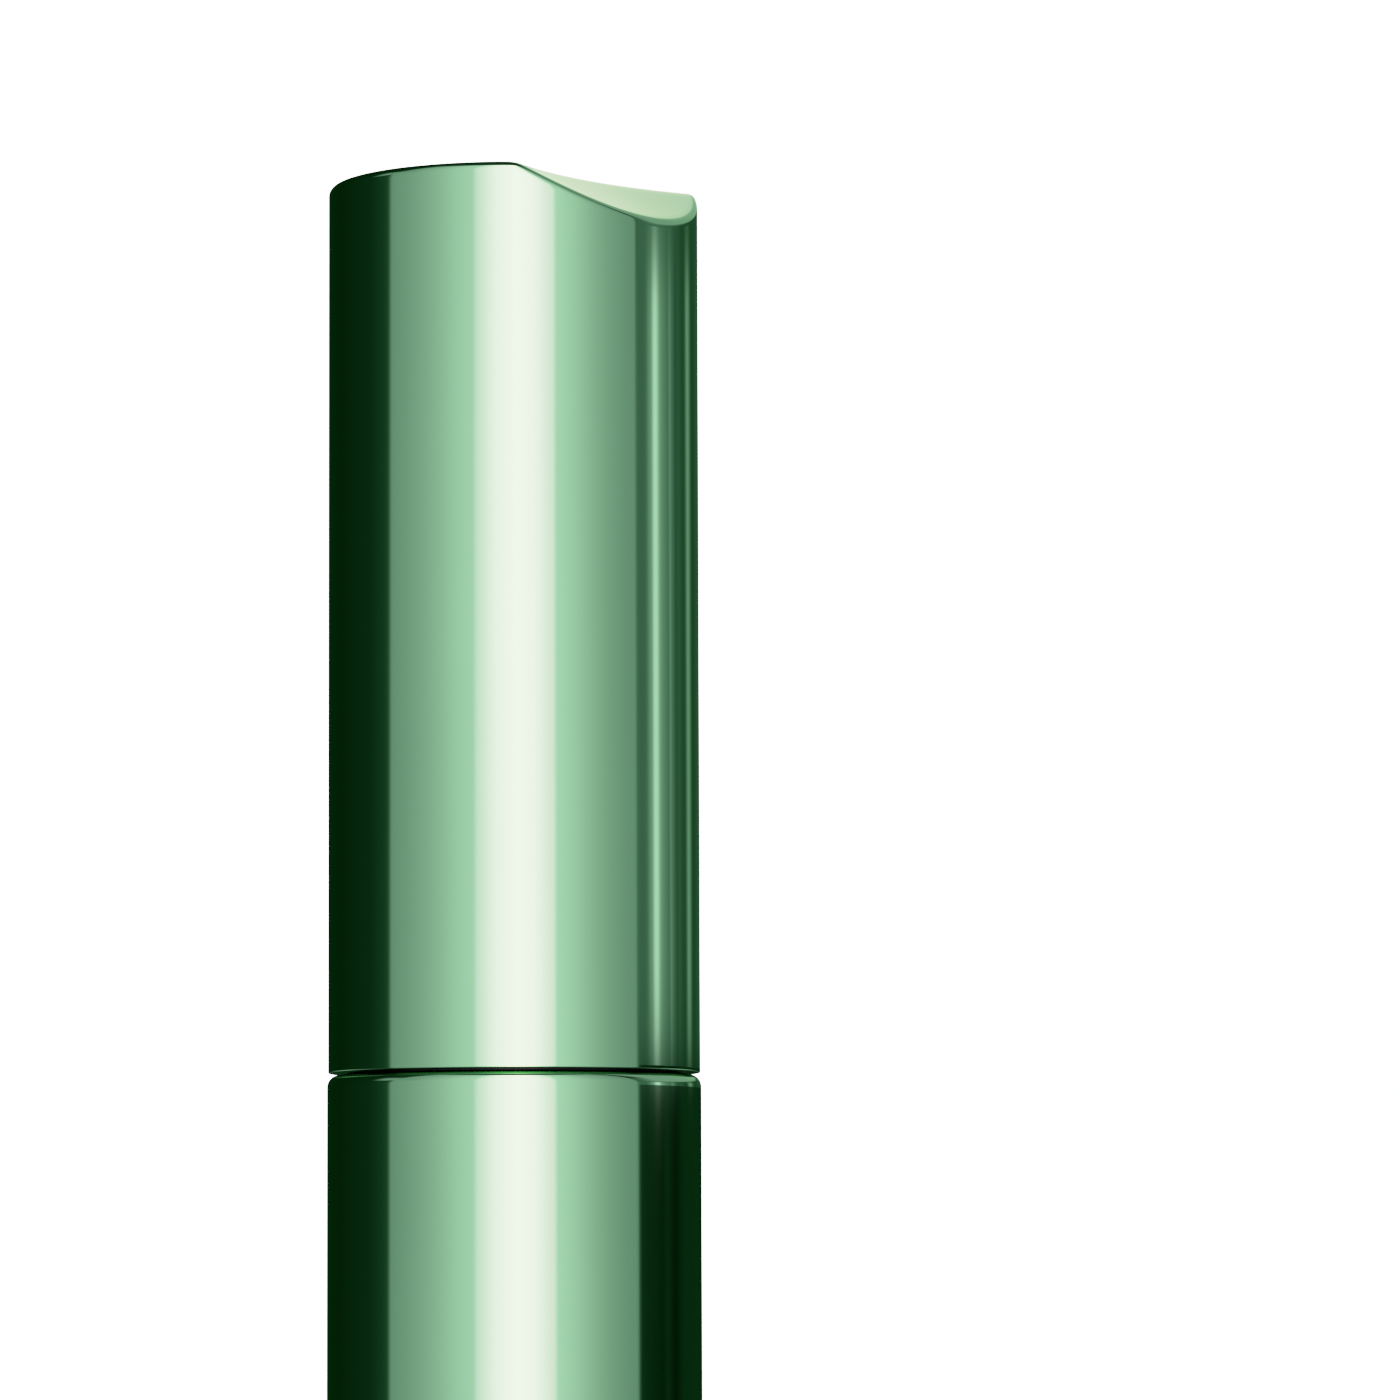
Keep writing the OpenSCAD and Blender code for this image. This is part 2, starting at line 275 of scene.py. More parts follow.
def studio_directions(tree):
    """Two factors: how far round from the camera's side, and how high, a direction lies."""
    coords = tree.nodes.new("ShaderNodeTexCoord")
    turn = tree.nodes.new("ShaderNodeMapping")
    turn.inputs["Rotation"].default_value[2] = math.pi / 2 - VIEW_AZIMUTH
    tree.links.new(coords.outputs["Generated"], turn.inputs["Vector"])
    radial = tree.nodes.new("ShaderNodeTexGradient")
    radial.gradient_type = "RADIAL"
    tree.links.new(turn.outputs["Vector"], radial.inputs["Vector"])
    split = tree.nodes.new("ShaderNodeSeparateXYZ")
    tree.links.new(coords.outputs["Generated"], split.inputs["Vector"])
    up = math_node(tree, "MULTIPLY_ADD", split.outputs["Z"], 0.5, 0.5)
    return radial.outputs["Fac"], up


def front_and_sides(tree, around):
    """The large front light with its bright strip, and the dark sides."""
    strip = [(position(a), colour) for a, colour in STRIP]
    left = ramp(tree, around, tinted(LEFT_OF_STRIP) + strip)
    right = ramp(tree, around, strip[-1:] + tinted(RIGHT_OF_STRIP))
    return blend(tree, step(tree, around, position, RAMPS_MEET), left, right)


def with_streaks(tree, around, up, lit):
    """Adds the streaks at the right, and the plain light above them."""
    beside = step(tree, around, position, STREAKS_AROUND)
    lit = patch(tree, lit, beside, plateau(tree, up, height, OVER_STREAKS_UP),
                ramp(tree, around, tinted(OVER_STREAKS)))
    return patch(tree, lit, beside, plateau(tree, up, height, STREAKS_UP),
                 ramp(tree, around, tinted(STREAKS)))


def with_far_lights(tree, around, up, lit):
    """Adds the dark ceiling, the light behind, one at each side and the low ones at the back."""
    lit = blend(tree, step(tree, up, height, CEILING_UP), lit, glow(CEILING_LIGHT))
    lit = patch(tree, lit, plateau(tree, around, position, BACK_LIGHT_AROUND),
                plateau(tree, up, height, BACK_LIGHT_UP),
                ramp(tree, up, [(height(e), colour) for e, colour in BACK_LIGHT]))
    lit = patch(tree, lit, plateau(tree, around, position, RIGHT_LIGHT_AROUND),
                plateau(tree, up, height, RIGHT_LIGHT_UP, inside=RIGHT_LIGHT_SHARE),
                glow(RIGHT_LIGHT))
    lit = patch(tree, lit, plateau(tree, around, position, LEFT_LIGHT_AROUND),
                plateau(tree, up, height, LEFT_LIGHT_UP), glow(LEFT_LIGHT))
    return patch(tree, lit, plateau(tree, around, position, FRONT_AROUND, outside=1, inside=0),
                 step(tree, up, height, LOW_LIGHTS_UP, before=1, after=0),
                 ramp(tree, around, tinted(LOW_LIGHTS)))


def make_world():
    """The studio, which lights the tube and shows in its metal, and the white backdrop."""
    world = bpy.data.worlds.new("studio")
    bpy.context.scene.world = world
    world.use_nodes = True
    tree = world.node_tree
    tree.nodes.clear()
    around, up = studio_directions(tree)
    lit = with_streaks(tree, around, up, front_and_sides(tree, around))
    lit = with_far_lights(tree, around, up, lit)
    studio = tree.nodes.new("ShaderNodeBackground")
    tree.links.new(lit, studio.inputs["Color"])
    backdrop = node(tree, "ShaderNodeBackground", Color=(1, 1, 1, 1), Strength=WHITE)
    path = tree.nodes.new("ShaderNodeLightPath")
    mix_shaders(tree, path.outputs["Is Camera Ray"], studio.outputs["Background"],
                backdrop.outputs["Background"], "ShaderNodeOutputWorld")


FLOOR_R = 3.0                # metres
FLOOR_FADE = (0.1, 0.6)      # metres from the tube
PAPER = (0.86, 0.86, 0.855, 1)
PAPER_ROUGHNESS = 0.6


def floor_material():
    """Pale paper that fades into the backdrop further out."""
    material = bpy.data.materials.new("floor")
    material.use_nodes = True
    tree = material.node_tree
    tree.nodes.clear()
    coords = tree.nodes.new("ShaderNodeTexCoord")
    away = tree.nodes.new("ShaderNodeVectorMath")
    away.operation = "LENGTH"
    tree.links.new(coords.outputs["Object"], away.inputs[0])
    fade = map_range(tree, away.outputs["Value"], FLOOR_FADE)
    fade.interpolation_type = "SMOOTHSTEP"
    paper = node(tree, "ShaderNodeBsdfPrincipled", Base_Color=PAPER, Roughness=PAPER_ROUGHNESS)
    bright = node(tree, "ShaderNodeEmission", Color=(1, 1, 1, 1), Strength=WHITE)
    mix_shaders(tree, fade.outputs["Result"], paper.outputs["BSDF"],
                bright.outputs["Emission"], "ShaderNodeOutputMaterial")
    return material


def make_floor():
    """The floor doesn't show in the metal, which shows the studio below it instead."""
    mesh = bpy.data.meshes.new("floor")
    shape = bmesh.new()
    bmesh.ops.create_circle(shape, cap_ends=True, segments=96, radius=FLOOR_R)
    shape.to_mesh(mesh)
    shape.free()
    floor = bpy.data.objects.new("floor", mesh)
    bpy.context.collection.objects.link(floor)
    mesh.materials.append(floor_material())
    floor.visible_glossy = False


LAMP_SIZE = 0.8              # metres
LAMP_WATTS = 9
LAMP_PLACE = Vector((0.1, 0.25, 1.2))
LAMP_AIM = Vector((0, 0, 0.05))


def make_lights():
    """One large soft light overhead, for the soft shadow on the floor."""
    data = bpy.data.lights.new("overhead", "AREA")
    data.shape = "DISK"
    data.size = LAMP_SIZE
    data.energy = LAMP_WATTS
    light = bpy.data.objects.new("overhead", data)
    light.location = LAMP_PLACE
    light.rotation_mode = "QUATERNION"
    light.rotation_quaternion = (LAMP_AIM - LAMP_PLACE).to_track_quat("-Z", "Y")
    light.visible_glossy = False
    bpy.context.collection.objects.link(light)


# from light, as a share of WHITE, to the picture's brightness
TONE = [(0, 0), (0.08, 0.2), (0.16, 0.4), (0.256, 0.64), (0.32, 0.74), (0.4, 0.8),
        (0.52, 0.86), (0.64, 0.9), (0.8, 0.95), (1, 1)]


def set_tone():
    """A gentle shoulder in the highlights, as a camera gives, so that bright metal turns white."""
    settings = bpy.context.scene.view_settings
    settings.view_transform = "Standard"
    settings.look = "None"
    settings.use_curve_mapping = True
    curves = settings.curve_mapping
    curves.white_level = (WHITE, WHITE, WHITE)
    all_channels = curves.curves[3]
    while len(all_channels.points) < len(TONE):
        all_channels.points.new(0.5, 0.5)
    for point, place in zip(all_channels.points, TONE):
        point.location = place
    curves.update()


# ---- materials ----

DRIFT = (0.3, 0.7)           # the part of the noise's range over which colour and roughness drift
BUMP_DEPTH = 0.05 * MM


def add_bump(tree, shader, coords, strength, scale):
    fine = node(tree, "ShaderNodeTexNoise", Scale=scale, Detail=4.0)
    tree.links.new(coords, fine.inputs["Vector"])
    relief = node(tree, "ShaderNodeBump", Strength=strength, Distance=BUMP_DEPTH)
    tree.links.new(fine.outputs["Fac"], relief.inputs["Height"])
    tree.links.new(relief.outputs["Normal"], shader.inputs["Normal"])


def surface(name, colour, metallic=0.0, roughness=(0.1, 0.16), tint=0.06, grain=400.0,
            bump=0.0, bump_scale=900.0, edge_tint=(1, 1, 1), ior=1.5, stretch=(1, 1, 1)):
    """A surface whose colour and roughness drift a little, and which can have a fine bump."""
    material = bpy.data.materials.new(name)
    material.use_nodes = True
    tree = material.node_tree
    shader = tree.nodes["Principled BSDF"]
    shader.inputs["Metallic"].default_value = metallic
    shader.inputs["IOR"].default_value = ior
    shader.inputs["Specular Tint"].default_value = (*edge_tint, 1)
    coords = tree.nodes.new("ShaderNodeTexCoord")
    scale = node(tree, "ShaderNodeMapping", Scale=stretch)
    tree.links.new(coords.outputs["Object"], scale.inputs["Vector"])
    drift = node(tree, "ShaderNodeTexNoise", Scale=grain, Detail=3.0)
    tree.links.new(scale.outputs["Vector"], drift.inputs["Vector"])
    darker = tuple(c * (1 - tint) for c in colour)
    lighter = tuple(min(1, c * (1 + tint)) for c in colour)
    shade = ramp(tree, drift.outputs["Fac"], [(DRIFT[0], darker), (DRIFT[1], lighter)])
    tree.links.new(shade, shader.inputs["Base Color"])
    wear = map_range(tree, drift.outputs["Fac"], DRIFT, roughness)
    tree.links.new(wear.outputs["Result"], shader.inputs["Roughness"])
    if bump:
        add_bump(tree, shader, scale.outputs["Vector"], bump, bump_scale)
    return material


PASTE_COLOUR = (0.0014, 0.0008, 0.0009)
BLACK_EDGE = (0.82, 0.97, 0.95)

GREEN_METAL = surface("green_metal", (0.26, 0.5, 0.3), metallic=1.0, roughness=(0.04, 0.06),
                      tint=0.015, grain=60.0, edge_tint=(0.62, 0.84, 0.62))
GREEN_PLASTIC = surface("green_plastic", (0.03, 0.12, 0.055), roughness=(0.22, 0.32), bump=0.1)
BLACK_PLASTIC = surface("black_plastic", (0.004, 0.004, 0.004), roughness=(0.26, 0.34), bump=0.08,
                        edge_tint=BLACK_EDGE, ior=1.42)
ROD_PLASTIC = surface("rod_plastic", (0.0028, 0.0028, 0.0029), roughness=(0.05, 0.08), tint=0.15,
                      edge_tint=BLACK_EDGE, ior=1.34)
VIAL_PLASTIC = surface("vial_plastic", (0.6, 0.63, 0.58), roughness=(0.14, 0.24), bump=0.05)
WIPER_PLASTIC = surface("wiper_plastic", (0.62, 0.64, 0.6), roughness=(0.4, 0.5), bump=0.1)
WASHER_FOAM = surface("washer_foam", (0.6, 0.61, 0.59), roughness=(0.75, 0.85), bump=0.5)
STEEL = surface("steel", (0.52, 0.53, 0.54), metallic=1.0, roughness=(0.25, 0.38), bump=0.1,
                stretch=(1, 1, 12))
WIRE_STEEL = surface("wire_steel", (0.5, 0.5, 0.5), metallic=1.0, roughness=(0.2, 0.3))
LABEL_FOIL = surface("label_foil", (0.6, 0.7, 0.6), roughness=(0.35, 0.45), bump=0.1)
FORMULA = surface("formula", PASTE_COLOUR, roughness=(0.1, 0.42), tint=0.5, grain=2500.0,
                  bump=0.8, bump_scale=4500.0, edge_tint=(0.97, 0.86, 0.88), ior=1.21)
BRISTLE = surface("bristle", (0.01, 0.005, 0.0052), roughness=(0.3, 0.45), tint=0.45,
                  grain=3000.0, edge_tint=(1, 0.88, 0.88), ior=1.33)

FINISHES = {
    "base_plug": GREEN_PLASTIC, "base_label": LABEL_FOIL, "base_weight": STEEL,
    "inner_vial": VIAL_PLASTIC, "neck_collar": BLACK_PLASTIC, "wiper": WIPER_PLASTIC,
    "formula": FORMULA, "seal_washer": WASHER_FOAM, "cap_weight": STEEL,
    "cap_liner": BLACK_PLASTIC, "rod": ROD_PLASTIC, "twisted_wire": WIRE_STEEL,
    "bristles": BRISTLE,
}

# the paste inside the wiper, and the share of noise and depth at which its edge lies
COATED_R = 3.7 * MM
COATED_Z, CLEAN_Z = TOP_Z - 36 * MM, TOP_Z - 33 * MM
SMEAR_SCALE = 900.0
SMEAR_EDGE = (0.42, 0.5)


def distance_from_axis(tree, split):
    square_x = math_node(tree, "MULTIPLY", split.outputs["X"], split.outputs["X"])
    square_y = math_node(tree, "MULTIPLY", split.outputs["Y"], split.outputs["Y"])
    return math_node(tree, "SQRT", math_node(tree, "ADD", square_x, square_y))


def coat_inside(material, colour, radius, coated_z, clean_z):
    """Coats the inside of a tube with paste up to coated_z, in smears that end by clean_z."""
    tree = material.node_tree
    base = tree.nodes["Principled BSDF"].inputs["Base Color"]
    coords = tree.nodes.new("ShaderNodeTexCoord")
    split = tree.nodes.new("ShaderNodeSeparateXYZ")
    tree.links.new(coords.outputs["Object"], split.inputs["Vector"])
    inside = math_node(tree, "LESS_THAN", distance_from_axis(tree, split), radius)
    depth = map_range(tree, split.outputs["Z"], (clean_z, coated_z))
    smears = node(tree, "ShaderNodeTexNoise", Scale=SMEAR_SCALE, Detail=3.0)
    tree.links.new(coords.outputs["Object"], smears.inputs["Vector"])
    ragged = math_node(tree, "ADD", depth.outputs["Result"], smears.outputs["Fac"])
    edge = ramp(tree, math_node(tree, "MULTIPLY", ragged, 0.5),
                [(SMEAR_EDGE[0], grey(0)), (SMEAR_EDGE[1], grey(1))])
    share = math_node(tree, "MULTIPLY", edge, inside)
    tree.links.new(blend(tree, share, base.links[0].from_socket, colour), base)


def dress(name, material):
    """Gives a CAD node its finished material."""
    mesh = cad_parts[name].data
    mesh.materials.clear()
    mesh.materials.append(material)


# ---- shapes ----

ARC_SUPPORT = 0.12 * MM      # the extra points beside each arc, which keep the shading flat there
WELD_DISTANCE = 1e-7


def add_piece(name, mesh, material, body, slot, *replaced):
    """Makes an object that moves with a body, and takes the place of the CAD nodes named."""
    mesh.materials.append(material)
    mesh.shade_smooth()
    piece = bpy.data.objects.new(name, mesh)
    bpy.context.collection.objects.link(piece)
    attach(piece, body)
    if replaced:
        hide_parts(*replaced)
    return piece


def arc(here, before, after, rounding, steps):
    """The rounding of one corner, with a point just before it and one just after it."""
    half = before.angle(after) / 2
    cut = rounding / math.tan(half)
    first = before.normalized()
    last = after.normalized()
    centre = here + (first + last).normalized() * rounding / math.sin(half)
    start = here + first * cut - centre
    turn = start.angle_signed(here + last * cut - centre)
    points = [centre + Matrix.Rotation(-turn * k / steps, 2) @ start for k in range(steps + 1)]
    return [here + first * (cut + ARC_SUPPORT), *points, here + last * (cut + ARC_SUPPORT)]


def filleted(corners, steps):
    """An outline through (radius, height, rounding) corners."""
    path = []
    for i, (r, z, rounding) in enumerate(corners):
        here = Vector((r, z))
        if rounding == 0:
            path.append(here)
            continue
        before = Vector(corners[i - 1][:2]) - here
        after = Vector(corners[(i + 1) % len(corners)][:2]) - here
        path += arc(here, before, after, rounding, steps)
    return path


def rings_mesh(name, rings, closed):
    """A mesh through rings of equally many points; closed joins the last ring to the first."""
    count = len(rings[0])
    mesh = bpy.data.meshes.new(name)
    points = [p for ring in rings for p in ring]
    faces = []
    for i in range(len(rings) if closed else len(rings) - 1):
        a = i * count
        b = (i + 1) % len(rings) * count
        for j in range(count):
            k = (j + 1) % count
            faces.append((a + j, a + k, b + k, b + j))
    mesh.from_pydata(points, [], faces)
    return mesh


def weld(mesh):
    """Joins points that coincide, and turns every face outwards."""
    shape = bmesh.new()
    shape.from_mesh(mesh)
    bmesh.ops.remove_doubles(shape, verts=shape.verts, dist=WELD_DISTANCE)
    bmesh.ops.recalc_face_normals(shape, faces=shape.faces)
    shape.to_mesh(mesh)
    shape.free()


def close_ends(mesh):
    """Fills the open ends, and turns every face outwards."""
    shape = bmesh.new()
    shape.from_mesh(mesh)
    bmesh.ops.holes_fill(shape, edges=[e for e in shape.edges if e.is_boundary])
    bmesh.ops.recalc_face_normals(shape, faces=shape.faces)
    shape.to_mesh(mesh)
    shape.free()


def lathe(name, corners, segments, steps):
    """A closed outline turned round the axis."""
    path = filleted(corners, steps)
    angles = [TAU * k / segments for k in range(segments)]
    rings = [[(p.x * math.cos(a), p.x * math.sin(a), p.y) for a in angles] for p in path]
    mesh = rings_mesh(name, rings, closed=True)
    weld(mesh)
    return mesh


# ---- cap and bottle ----

COVER_WALL = 0.9 * MM
RIM_ROUND = 0.4 * MM
RIM_STEPS = 8
RIM_SUPPORT = 0.15 * MM      # down from the rim, the extra point that keeps the side's shading flat
MOUTH_ROUND = 0.05 * MM
CEILING_ROUND = 0.3 * MM
CEILING = TOP_Z - 3.2 * MM
SIDE_POINTS = (TOP_Z - 4 * MM, TOP_Z - 5 * MM)     # heights of two extra points down the side
CREST_SOFT = 0.05 * MM       # by how much the crest's point is rounded off
CREST_MARGIN = 0.02 * MM     # left between the fine steps at the crest and the rim
BY_CREST = 0.4 * MM          # the fine steps reach this far on both sides of the crest
STEPS_TO_CREST, STEPS_BY_CREST, STEPS_TO_RIM = 12, 16, 10
HALVINGS = 30                # of the span in which the crest is sought
COVER_SEGMENTS = 540

SLEEVE_WALL = 0.8 * MM
SLEEVE_ROOF = 1 * MM
COLLAR_HOLE_R = 7 * MM
HOLE_ROUND = 0.1 * MM
SHOULDER_ROUND = 0.6 * MM
FOOT_ROUND = 0.4 * MM
FOOT_INNER_ROUND = 0.08 * MM
SLEEVE_SEGMENTS = 512


def scoop_height(x, y):
    """Height of the hollow sloped face: the lower side of the large cylinder along the slope."""
    across = math.sqrt(SCOOP_R ** 2 - x ** 2)
    lift = (SCOOP_R - across) / math.cos(SCOOP_ANGLE)
    return TOP_Z - (-y - CREST) * math.tan(SCOOP_ANGLE) + lift


def scoop_at(r, a):
    return scoop_height(r * math.cos(a), r * math.sin(a))


def top_height(r, a):
    """The cap's top: the flat, cut by the sloped face, with the crest between them softened."""
    below = scoop_at(r, a) - TOP_Z
    return TOP_Z + (below - math.sqrt(below * below + 4 * CREST_SOFT * CREST_SOFT)) / 2


def crest_radius(a):
    """Distance from the axis to the crest in direction a, or None where the rim is flat."""
    if scoop_at(CAP_R, a) > TOP_Z:
        return None
    low, high = 0.0, CAP_R
    for _ in range(HALVINGS):
        middle = (low + high) / 2
        if scoop_at(middle, a) > TOP_Z:
            low = middle
        else:
            high = middle
    return high


def face_radii(crest, rim):
    """Steps over the top from the axis to the rim, fine on both sides of the crest."""
    low = crest - BY_CREST
    high = crest + BY_CREST
    radii = [low * k / STEPS_TO_CREST for k in range(STEPS_TO_CREST)]
    radii += [low + (high - low) * k / STEPS_BY_CREST for k in range(STEPS_BY_CREST)]
    radii += [high + (rim - high) * k / STEPS_TO_RIM for k in range(STEPS_TO_RIM)]
    return radii


def rim_arc(a):
    """The rounded rim in direction a, from the top, at its slope there, to the side."""
    slope = (top_height(CAP_R, a) - top_height(CAP_R - RIM_ROUND, a)) / RIM_ROUND
    centre_r = CAP_R - RIM_ROUND
    centre_z = top_height(CAP_R, a) - slope * RIM_ROUND - RIM_ROUND * math.hypot(1, slope)
    points = []
    for k in range(RIM_STEPS + 1):
        lean = math.atan2(1, -slope) * (1 - k / RIM_STEPS)
        points.append((centre_r + RIM_ROUND * math.cos(lean),
                       centre_z + RIM_ROUND * math.sin(lean)))
    return points


def cap_profile(a):
    """The cap's section in direction a, from the axis over the rim to the inside."""
    rim = rim_arc(a)
    limit = CAP_R - RIM_ROUND - BY_CREST - CREST_MARGIN
    crest = min(crest_radius(a) or limit, limit)
    path = [(r, top_height(r, a)) for r in face_radii(crest, rim[0][0])]
    path += rim
    path += [(CAP_R, rim[-1][1] - RIM_SUPPORT), (CAP_R, SIDE_POINTS[0])]
    inner = CAP_R - COVER_WALL
    mouth = filleted([(CAP_R, SIDE_POINTS[1], 0), (CAP_R, CAP_Z, MOUTH_ROUND),
                      (inner, CAP_Z, MOUTH_ROUND), (inner, CEILING, CEILING_ROUND),
                      (0, CEILING, 0)], steps=5)
    return path + [tuple(p) for p in mouth]


def cap_cover():
    """The metal cover: one section of the cap after another, all the way round."""
    sections = []
    for k in range(COVER_SEGMENTS):
        a = TAU * k / COVER_SEGMENTS
        sections.append([(r * math.cos(a), r * math.sin(a), z) for r, z in cap_profile(a)])
    rings = [list(ring) for ring in zip(*sections)]
    mesh = rings_mesh("cap_cover_metal", rings, closed=False)
    weld(mesh)
    return add_piece("cap_cover_metal", mesh, GREEN_METAL, "cap", "green_metal", "cap_cover")


def bottle_sleeve():
    """The metal sleeve, with its rounded shoulder and the hole for the collar."""
    inner = SLEEVE_R - SLEEVE_WALL
    roof = SLEEVE_TOP - SLEEVE_ROOF
    mesh = lathe("bottle_sleeve_metal", [
        (COLLAR_HOLE_R, SLEEVE_TOP, HOLE_ROUND), (SLEEVE_R, SLEEVE_TOP, SHOULDER_ROUND),
        (SLEEVE_R, SLEEVE_Z, FOOT_ROUND), (inner, SLEEVE_Z, FOOT_INNER_ROUND),
        (inner, roof, 0), (COLLAR_HOLE_R, roof, 0)], segments=SLEEVE_SEGMENTS, steps=12)
    return add_piece("bottle_sleeve_metal", mesh, GREEN_METAL, "bottle", "green_metal",
                     "bottle_sleeve")


# ---- brush ----

BOW = 1.3 * MM
BOW_DIRECTION = math.radians(132.5)
ROW_PITCH = 3.5 * MM          # the rise of one turn of the double row in which the fibres stand
# Places along the brush go from the rod (0) to the tip (1).
# How far the fibres reach, in mm
REACH = ([0, 0.03, 0.12, 0.25, 0.48, 0.62, 0.71, 0.76, 0.83, 0.9, 0.96, 1],
         [2.5, 3.0, 3.35, 3.25, 2.95, 3.6, 4.6, 4.5, 3.8, 3.1, 2.4, 1.7])
# How thick the paste lies round the wires, in mm
PASTE = ([0, 0.05, 0.3, 0.5, 0.68, 0.8, 0.93, 1, 1.013, 1.02],
         [1.3, 1.45, 1.25, 1.2, 1.7, 1.55, 1.0, 0.78, 0.68, 0.25])
PASTE_FROM, PASTE_TO = -0.006, 1.02
PASTE_ROWS, PASTE_SIDES = 330, 84
THINNEST = 0.1                # mm
# The paste's relief: depth and waves per mm. Swell and lumps are shares of its thickness.
SWELL = (0.22, 0.8)
LUMPS = (0.5, 1.9)
LUMP_POWER = 1.3              # above 1, it leaves flat ground between the lumps
RELIEF = 0.9                  # by which swell and lumps together change the thickness
GRAIN = (0.16, 4.5)
FINE_GRAIN = (0.07, 11)

LAST_ROOT = 0.995             # the last tufts and clumps leave the wires here
LINE_STEP = 0.002             # over which the centre line's direction is taken
# The outline's two waves: height as a share of the reach, radians over the whole brush, and
# how much they shift round it
LONG_WAVE = (0.05, 37, 1.3)
SHORT_WAVE = (0.04, 83, 2)

TUFTS, FIBRES_PER_TUFT = 370, 6
TUFT_SPREAD = 0.55            # radians round the brush, away from the double row
TUFT_LEAN_SPREAD = 0.1        # slope
TUFT_LENGTHS = (0.74, 1.06)   # shares of the reach
ROOT_SPREAD = 0.006           # along the brush, of the fibres in one tuft
ROUND_SPREAD = 0.16           # radians round it, of the fibres in one tuft
FIBRE_LEAN_SPREAD = 0.07
FIBRE_LENGTHS = (0.82, 1.0)   # shares of the tuft's length
FIBRE_SAG = 0.12 * MM
FIBRE_R = (0.075, 0.042)      # mm, at the root and at the end
FIBRE_WIDTHS = (0.8, 1.25)    # shares of that radius
FIBRE_RINGS, FIBRE_SIDES = 4, 4
FIBRE_LEAN = ([0, 0.1, 0.85, 1], [-0.22, -0.02, 0.06, 0.75])    # the slope towards the tip

CLUMPS = 270
CLUMP_SPREAD = 0.5
CLUMP_LEAN_SPREAD = 0.1
CLUMP_LENGTHS = (0.6, 1.0)
CLUMP_SAG = 0.15 * MM
CLUMP_SHAKE = 0.035 * MM      # by which its rings are out of line
CLUMP_EDGES = (0.7, 1.35)     # shares of the width, ring by ring
CLUMP_WIDTHS = (0.6, 1.25)    # shares of the width, clump by clump
CLUMP_FLATNESS = 0.42         # thickness as a share of the width
CLUMP_LEAST = 0.02            # mm added to the thickness
CLUMP_THICKNESSES = (0.8, 1.2)
CLUMP_RINGS, CLUMP_SIDES = 9, 7
CLUMP_LEAN = ([0, 0.1, 0.85, 1], [-0.15, 0, 0.06, 0.7])
CLUMP_TAPER = ([0, 0.35, 0.75, 1], [0.5, 0.36, 0.21, 0.07])     # mm, from the root (0)
BRUSH_SEED = 11


def brush_line(t):
    """Points of the bowed centre line."""
    t = np.asarray(t, float)
    off = BOW * np.sin(math.pi * t)
    return np.stack([off * math.cos(BOW_DIRECTION), off * math.sin(BOW_DIRECTION),
                     ROD_END + (BRUSH_TIP - ROD_END) * t], axis=-1)


def brush_frame(t):
    """The centre line's direction at each t, and two directions square to it."""
    along = brush_line(np.asarray(t) + LINE_STEP) - brush_line(np.asarray(t) - LINE_STEP)
    along /= np.linalg.norm(along, axis=-1, keepdims=True)
    first = np.cross(along, [0.0, 1.0, 0.0])
    first /= np.linalg.norm(first, axis=-1, keepdims=True)
    return along, first, np.cross(along, first)


def outwards(t, angle):
    """The line's direction, and unit vectors that stand out of it at an angle round it."""
    along, first, second = brush_frame(t)
    return along, np.cos(angle)[:, None] * first + np.sin(angle)[:, None] * second


def leaned(out, along, lean):
    """Unit vectors along out, tilted towards along by a slope."""
    out = out + along * lean[:, None]
    return out / np.linalg.norm(out, axis=1, keepdims=True)


def spikes(name, paths, across, widths, thicks, sides):
    """Many tapered spikes in one mesh: each path is a row of oval rings, with across as one axis."""
    count, rings = widths.shape
    other = np.cross(paths[:, -1] - paths[:, 0], across)
    other /= np.linalg.norm(other, axis=1, keepdims=True)
    turn = TAU * np.arange(sides) / sides
    oval = (widths[:, :, None, None] * np.cos(turn)[:, None] * across[:, None, None, :]
            + thicks[:, :, None, None] * np.sin(turn)[:, None] * other[:, None, None, :])
    points = (paths[:, :, None, :] + oval).reshape(-1, 3)
    start = np.arange(count)[:, None, None] * rings * sides
    ring = np.arange(rings - 1)[None, :, None] * sides
    here = np.arange(sides)
    low = start + ring + here
    low_beside = start + ring + (here + 1) % sides
    faces = np.stack([low, low_beside, low_beside + sides, low + sides], axis=-1).reshape(-1, 4)
    ends = np.concatenate([start[:, 0] + here[::-1], start[:, 0] + (rings - 1) * sides + here])
    mesh = bpy.data.meshes.new(name)
    mesh.from_pydata(points.tolist(), [], faces.tolist() + ends.tolist())
    mesh.validate()
    return mesh


def fibre_reach(t, angle):
    """Length of the fibres, with two slow waves so that the outline is uneven."""
    size, turns, shift = LONG_WAVE
    wave = 1 + size * np.sin(turns * t + shift * np.sin(angle))
    size, turns, shift = SHORT_WAVE
    wave = wave + size * np.sin(turns * t + shift * angle)
    return np.interp(t, *REACH) * MM * wave


def helix_angle(rng, t, spread):
    """The fibres stand in a double row that winds round the wires."""
    turns = t * (ROD_END - BRUSH_TIP) / ROW_PITCH
    side = rng.integers(0, 2, len(t)) * math.pi
    return turns * TAU + side + rng.normal(0, spread, len(t))


def curved(start, out, along, length, sag, rings):
    """Paths of spikes that leave along out and bend by sag towards along."""
    u = np.linspace(0, 1, rings)[None, :, None]
    return (start[:, None] + out[:, None] * (length[:, None, None] * u)
            + along[:, None] * (sag[:, None, None] * u * u))


